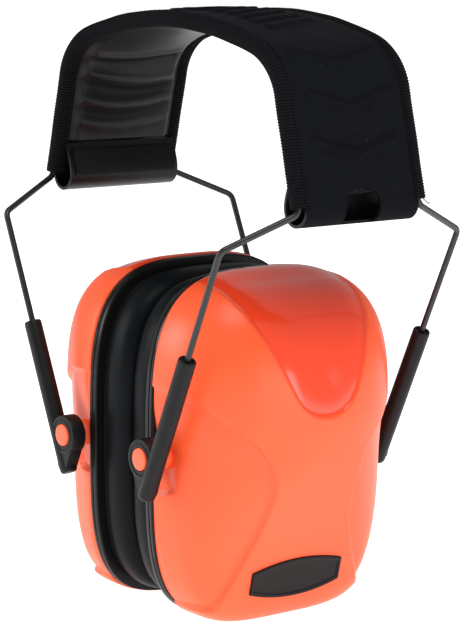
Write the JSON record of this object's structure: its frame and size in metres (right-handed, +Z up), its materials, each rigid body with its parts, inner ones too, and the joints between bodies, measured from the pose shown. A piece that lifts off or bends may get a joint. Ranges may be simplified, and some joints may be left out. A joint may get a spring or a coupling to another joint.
{
  "type": "hearing protection earmuffs",
  "caption": "Over-ear hearing protectors: two deep moulded cups with padded cushions on sliding arms, joined by a cloth-covered spring-wire headband.",
  "frame": {"origin": "on the ground midway between the two cups, under the middle of the headband", "axes": "+X from the left cup to the right cup, +Y from front to rear, +Z up"},
  "size_m": [0.1302, 0.0946, 0.1821],
  "materials": {
    "shell_plastic": "satin",
    "pin_plastic": "satin",
    "plate_plastic": "gloss",
    "arm_plastic": "satin",
    "badge_plastic": "satin",
    "spring_wire": "satin",
    "stop_metal": "satin",
    "cushion_cover": "satin",
    "foam": "matte",
    "cover_cloth": "matte",
    "lining": "satin",
    "binding": "matte",
    "hook_tape": "matte"
  },
  "bodies": {
    "headband": {"wire_front": "spring_wire", "wire_rear": "spring_wire", "foam_pad": "foam", "cover_outer": "cover_cloth", "cover_lining": "lining", "binding_front": "binding", "binding_rear": "binding", "hook_tape_left": "hook_tape", "hook_tape_right": "hook_tape"},
    "left_wire_ends": {"wire_stop_left_front": "stop_metal", "wire_stop_left_rear": "stop_metal"},
    "left_arms": {"arm_left_front": "arm_plastic", "arm_left_rear": "arm_plastic", "bush_left_front": "arm_plastic", "bush_left_rear": "arm_plastic"},
    "left_cup": {"shell_left": "shell_plastic", "pivot_pins_left": "pin_plastic", "cushion_plate_left": "plate_plastic", "cushion_skin_left": "cushion_cover", "cushion_foam_left": "foam", "liner_foam_left": "foam", "badge_left": "badge_plastic"},
    "right_wire_ends": {"wire_stop_right_front": "stop_metal", "wire_stop_right_rear": "stop_metal"},
    "right_arms": {"arm_right_front": "arm_plastic", "arm_right_rear": "arm_plastic", "bush_right_front": "arm_plastic", "bush_right_rear": "arm_plastic"},
    "right_cup": {"shell_right": "shell_plastic", "pivot_pins_right": "pin_plastic", "cushion_plate_right": "plate_plastic", "cushion_skin_right": "cushion_cover", "cushion_foam_right": "foam", "liner_foam_right": "foam", "badge_right": "badge_plastic"}
  },
  "joints": [
    {"name": "left_spread", "type": "hinge", "parent": "headband", "child": "left_wire_ends", "pos_m": [-0.047, 0, 0.165], "axis": [0, 1, 0], "range_deg": [0, 36], "stiffness_Nm_per_rad": 1.2, "springref_deg": -20.05, "deforming": ["wire_front", "wire_rear"]},
    {"name": "left_slide", "type": "slide", "parent": "left_wire_ends", "child": "left_arms", "axis": [-0.4195, 0, 0.9078], "range_m": [0, 0.022]},
    {"name": "left_swivel", "type": "hinge", "parent": "left_arms", "child": "left_cup", "pos_m": [-0.0206, 0, 0.05285], "axis": [0, 1, 0], "range_deg": [-38, 2]},
    {"name": "right_spread", "type": "hinge", "parent": "headband", "child": "right_wire_ends", "pos_m": [0.047, 0, 0.165], "axis": [0, -1, 0], "range_deg": [0, 36], "stiffness_Nm_per_rad": 1.2, "springref_deg": -20.05, "deforming": ["wire_front", "wire_rear"]},
    {"name": "right_slide", "type": "slide", "parent": "right_wire_ends", "child": "right_arms", "axis": [0.4195, 0, 0.9078], "range_m": [0, 0.022]},
    {"name": "right_swivel", "type": "hinge", "parent": "right_arms", "child": "right_cup", "pos_m": [0.0206, 0, 0.05285], "axis": [0, -1, 0], "range_deg": [-38, 2]}
  ],
  "couplings": [
    {"joint": "left_swivel", "follows": "left_spread", "ratio": -1},
    {"joint": "right_swivel", "follows": "right_spread", "ratio": -1}
  ]
}
